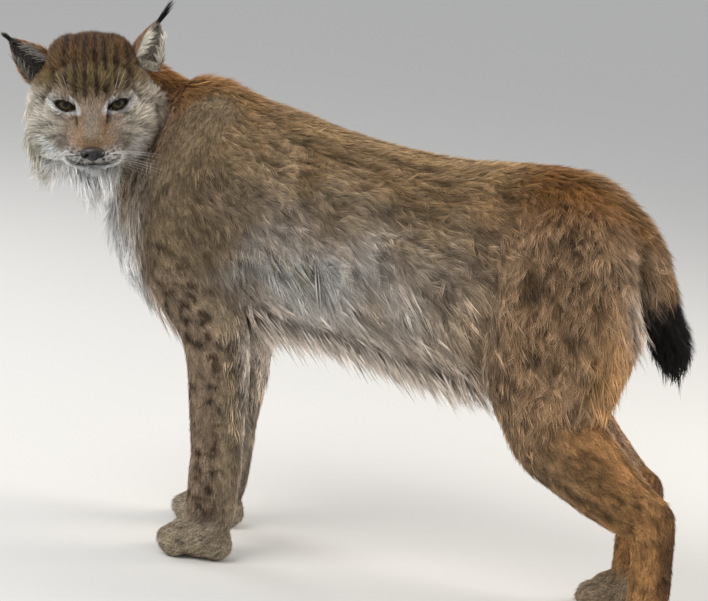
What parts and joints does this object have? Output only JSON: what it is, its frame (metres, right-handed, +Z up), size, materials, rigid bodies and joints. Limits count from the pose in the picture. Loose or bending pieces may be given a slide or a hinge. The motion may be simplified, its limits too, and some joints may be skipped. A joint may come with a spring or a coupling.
{
  "type": "eurasian lynx",
  "caption": "Life-size still model of a standing Eurasian lynx in winter coat, looking over its left shoulder, with cheek ruff, ear tufts and bobbed black-tipped tail.",
  "frame": {"origin": "middle of the whole animal's bounding box, on the floor under its paws", "axes": "+Z up, head end towards -X, tail towards +X, the animal's left side towards -Y"},
  "size_m": [0.9628, 0.346, 0.72],
  "materials": {
    "tawny_fur": "matte",
    "pale_fur": "matte",
    "grey_fur": "matte",
    "black_fur": "matte",
    "nose_leather": "satin",
    "amber_eye": "gloss"
  },
  "bodies": {
    "root": {"torso": "tawny_fur", "neck": "tawny_fur", "head": "tawny_fur", "nose": "nose_leather", "ear_left": "grey_fur", "ear_right": "grey_fur", "eye_left": "amber_eye", "eye_right": "amber_eye", "foreleg_left_upper": "tawny_fur", "foreleg_left_lower": "tawny_fur", "forepaw_left": "pale_fur", "foreleg_right_upper": "tawny_fur", "foreleg_right_lower": "tawny_fur", "forepaw_right": "pale_fur", "thigh_left": "tawny_fur", "shank_left": "tawny_fur", "hock_left": "tawny_fur", "hindpaw_left": "pale_fur", "thigh_right": "tawny_fur", "shank_right": "tawny_fur", "hock_right": "tawny_fur", "hindpaw_right": "pale_fur", "tail": "tawny_fur", "tail_tip": "black_fur"}
  },
  "joints": []
}
